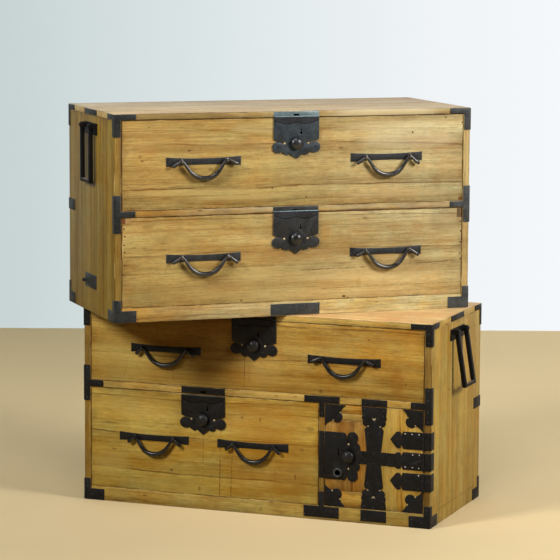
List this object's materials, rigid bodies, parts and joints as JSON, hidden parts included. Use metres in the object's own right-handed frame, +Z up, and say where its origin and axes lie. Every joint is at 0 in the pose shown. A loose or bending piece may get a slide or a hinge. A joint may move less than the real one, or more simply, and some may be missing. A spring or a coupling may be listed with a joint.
{
  "type": "stacking clothing chest",
  "caption": "Low stacking clothing chest with full-width drawers, a small locked door, swinging bail handles and pole loops; its upper section stands turned on the lower one.",
  "frame": {"origin": "centre of the lower section's underside, on the floor", "axes": "+X to the lower section's right, +Y to its back, +Z up"},
  "size_m": [1.0127, 0.9104, 1.004],
  "materials": {
    "case_wood": "satin oiled paulownia",
    "front_wood": "satin oiled paulownia",
    "top_wood": "matt worn paulownia",
    "inner_wood": "bare planed paulownia",
    "sheet_iron": "matt burnt-oil black",
    "bar_iron": "semi-gloss burnt-oil black",
    "knob_iron": "semi-gloss burnt-oil black",
    "plain_iron": "bare forged"
  },
  "bodies": {
    "lower_case": {"lower_left_side": "case_wood", "lower_right_side": "case_wood", "lower_top": "top_wood", "lower_shelf": "case_wood", "lower_bottom": "case_wood", "lower_back": "inner_wood", "divider": "case_wood", "safe_shelf": "inner_wood", "lower_corner_irons": "sheet_iron", "lower_edge_irons": "sheet_iron", "lower_loop_brackets": "sheet_iron", "case_hinge_leaves": "sheet_iron", "door_hinge_pins": "plain_iron"},
    "upper_case": {"upper_left_side": "case_wood", "upper_right_side": "case_wood", "upper_top": "top_wood", "upper_shelf": "case_wood", "upper_bottom": "case_wood", "upper_back": "inner_wood", "upper_corner_irons": "sheet_iron", "upper_edge_irons": "sheet_iron", "upper_loop_brackets": "sheet_iron"},
    "top_drawer": {"top_drawer_front": "front_wood", "top_drawer_box": "inner_wood", "top_drawer_irons": "sheet_iron"},
    "top_drawer_knob": {"top_drawer_knob": "knob_iron"},
    "top_drawer_bolt": {"top_drawer_bolt": "plain_iron"},
    "top_drawer_left_bail": {"top_drawer_left_bail": "bar_iron"},
    "top_drawer_right_bail": {"top_drawer_right_bail": "bar_iron"},
    "second_drawer": {"second_drawer_front": "front_wood", "second_drawer_box": "inner_wood", "second_drawer_irons": "sheet_iron"},
    "second_drawer_knob": {"second_drawer_knob": "knob_iron"},
    "second_drawer_bolt": {"second_drawer_bolt": "plain_iron"},
    "second_drawer_left_bail": {"second_drawer_left_bail": "bar_iron"},
    "second_drawer_right_bail": {"second_drawer_right_bail": "bar_iron"},
    "wide_drawer": {"wide_drawer_front": "front_wood", "wide_drawer_box": "inner_wood", "wide_drawer_irons": "sheet_iron"},
    "wide_drawer_knob": {"wide_drawer_knob": "knob_iron"},
    "wide_drawer_bolt": {"wide_drawer_bolt": "plain_iron"},
    "wide_drawer_left_bail": {"wide_drawer_left_bail": "bar_iron"},
    "wide_drawer_right_bail": {"wide_drawer_right_bail": "bar_iron"},
    "small_drawer": {"small_drawer_front": "front_wood", "small_drawer_box": "inner_wood", "small_drawer_irons": "sheet_iron"},
    "small_drawer_knob": {"small_drawer_knob": "knob_iron"},
    "small_drawer_bolt": {"small_drawer_bolt": "plain_iron"},
    "small_drawer_left_bail": {"small_drawer_left_bail": "bar_iron"},
    "small_drawer_right_bail": {"small_drawer_right_bail": "bar_iron"},
    "upper_left_loop": {"upper_left_loop": "bar_iron"},
    "upper_right_loop": {"upper_right_loop": "bar_iron"},
    "lower_left_loop": {"lower_left_loop": "bar_iron"},
    "lower_right_loop": {"lower_right_loop": "bar_iron"},
    "door": {"door_panel": "front_wood", "door_irons": "sheet_iron", "door_hinge_straps": "sheet_iron", "door_lock_plate": "sheet_iron"},
    "door_knob": {"door_knob": "knob_iron"},
    "door_bolt": {"door_bolt": "plain_iron"}
  },
  "joints": [
    {"name": "upper_case_turn", "type": "hinge", "parent": "lower_case", "child": "upper_case", "pos_m": [0.0314, -0.0572, 0.502], "axis": [0, 0, 1], "range_deg": [-40.5, 19.5]},
    {"name": "top_drawer_slide", "type": "slide", "parent": "upper_case", "child": "top_drawer", "axis": [0.6494, -0.7604, 0], "range_m": [0, 0.3]},
    {"name": "top_drawer_knob_push", "type": "slide", "parent": "top_drawer", "child": "top_drawer_knob", "axis": [-0.6494, 0.7604, 0], "range_m": [0, 0.006]},
    {"name": "top_drawer_bolt_lift", "type": "slide", "parent": "top_drawer", "child": "top_drawer_bolt", "axis": [0, 0, 1], "range_m": [0, 0.0075]},
    {"name": "top_drawer_left_bail_swing", "type": "hinge", "parent": "top_drawer", "child": "top_drawer_left_bail", "pos_m": [-0.0708, -0.35004, 0.89], "axis": [-0.7604, -0.6494, 0], "range_deg": [0, 110]},
    {"name": "top_drawer_right_bail_swing", "type": "hinge", "parent": "top_drawer", "child": "top_drawer_right_bail", "pos_m": [0.28887, -0.04285, 0.89], "axis": [-0.7604, -0.6494, 0], "range_deg": [0, 110]},
    {"name": "second_drawer_slide", "type": "slide", "parent": "upper_case", "child": "second_drawer", "axis": [0.6494, -0.7604, 0], "range_m": [0, 0.3]},
    {"name": "second_drawer_knob_push", "type": "slide", "parent": "second_drawer", "child": "second_drawer_knob", "axis": [-0.6494, 0.7604, 0], "range_m": [0, 0.006]},
    {"name": "second_drawer_bolt_lift", "type": "slide", "parent": "second_drawer", "child": "second_drawer_bolt", "axis": [0, 0, 1], "range_m": [0, 0.0075]},
    {"name": "second_drawer_left_bail_swing", "type": "hinge", "parent": "second_drawer", "child": "second_drawer_left_bail", "pos_m": [-0.0708, -0.35004, 0.6565], "axis": [-0.7604, -0.6494, 0], "range_deg": [0, 110]},
    {"name": "second_drawer_right_bail_swing", "type": "hinge", "parent": "second_drawer", "child": "second_drawer_right_bail", "pos_m": [0.28887, -0.04285, 0.6565], "axis": [-0.7604, -0.6494, 0], "range_deg": [0, 110]},
    {"name": "wide_drawer_slide", "type": "slide", "parent": "lower_case", "child": "wide_drawer", "axis": [0, -1, 0], "range_m": [0, 0.3]},
    {"name": "wide_drawer_knob_push", "type": "slide", "parent": "wide_drawer", "child": "wide_drawer_knob", "axis": [0, 1, 0], "range_m": [0, 0.006]},
    {"name": "wide_drawer_bolt_lift", "type": "slide", "parent": "wide_drawer", "child": "wide_drawer_bolt", "axis": [0, 0, 1], "range_m": [0, 0.0075]},
    {"name": "wide_drawer_left_bail_swing", "type": "hinge", "parent": "wide_drawer", "child": "wide_drawer_left_bail", "pos_m": [-0.236, -0.2135, 0.402], "axis": [-1, 0, 0], "range_deg": [0, 110]},
    {"name": "wide_drawer_right_bail_swing", "type": "hinge", "parent": "wide_drawer", "child": "wide_drawer_right_bail", "pos_m": [0.236, -0.2135, 0.402], "axis": [-1, 0, 0], "range_deg": [0, 110]},
    {"name": "small_drawer_slide", "type": "slide", "parent": "lower_case", "child": "small_drawer", "axis": [0, -1, 0], "range_m": [0, 0.3]},
    {"name": "small_drawer_knob_push", "type": "slide", "parent": "small_drawer", "child": "small_drawer_knob", "axis": [0, 1, 0], "range_m": [0, 0.006]},
    {"name": "small_drawer_bolt_lift", "type": "slide", "parent": "small_drawer", "child": "small_drawer_bolt", "axis": [0, 0, 1], "range_m": [0, 0.0075]},
    {"name": "small_drawer_left_bail_swing", "type": "hinge", "parent": "small_drawer", "child": "small_drawer_left_bail", "pos_m": [-0.268, -0.2135, 0.1745], "axis": [-1, 0, 0], "range_deg": [0, 110]},
    {"name": "small_drawer_right_bail_swing", "type": "hinge", "parent": "small_drawer", "child": "small_drawer_right_bail", "pos_m": [-0.002, -0.2135, 0.1745], "axis": [-1, 0, 0], "range_deg": [0, 110]},
    {"name": "upper_left_loop_swing", "type": "hinge", "parent": "upper_case", "child": "upper_left_loop", "pos_m": [-0.38854, -0.34064, 0.963], "axis": [0.6494, -0.7604, 0], "range_deg": [-180, 0]},
    {"name": "upper_right_loop_swing", "type": "hinge", "parent": "upper_case", "child": "upper_right_loop", "pos_m": [0.32929, 0.27244, 0.963], "axis": [-0.6494, 0.7604, 0], "range_deg": [-180, 0]},
    {"name": "lower_left_loop_swing", "type": "hinge", "parent": "lower_case", "child": "lower_left_loop", "pos_m": [-0.472, 0, 0.461], "axis": [0, -1, 0], "range_deg": [-180, 0]},
    {"name": "lower_right_loop_swing", "type": "hinge", "parent": "lower_case", "child": "lower_right_loop", "pos_m": [0.472, 0, 0.461], "axis": [0, 1, 0], "range_deg": [-171, 9]},
    {"name": "door_hinge", "type": "hinge", "parent": "lower_case", "child": "door", "pos_m": [0.44125, -0.2065, 0.164], "axis": [0, 0, 1], "range_deg": [0, 175]},
    {"name": "door_knob_push", "type": "slide", "parent": "door", "child": "door_knob", "axis": [0, 1, 0], "range_m": [0, 0.006]},
    {"name": "door_bolt_slide", "type": "slide", "parent": "door", "child": "door_bolt", "axis": [-1, 0, 0], "range_m": [0, 0.0075]}
  ],
  "couplings": [
    {"joint": "top_drawer_bolt_lift", "follows": "top_drawer_knob_push", "ratio": 1.25},
    {"joint": "second_drawer_bolt_lift", "follows": "second_drawer_knob_push", "ratio": 1.25},
    {"joint": "wide_drawer_bolt_lift", "follows": "wide_drawer_knob_push", "ratio": 1.25},
    {"joint": "small_drawer_bolt_lift", "follows": "small_drawer_knob_push", "ratio": 1.25},
    {"joint": "door_bolt_slide", "follows": "door_knob_push", "ratio": 1.25}
  ]
}
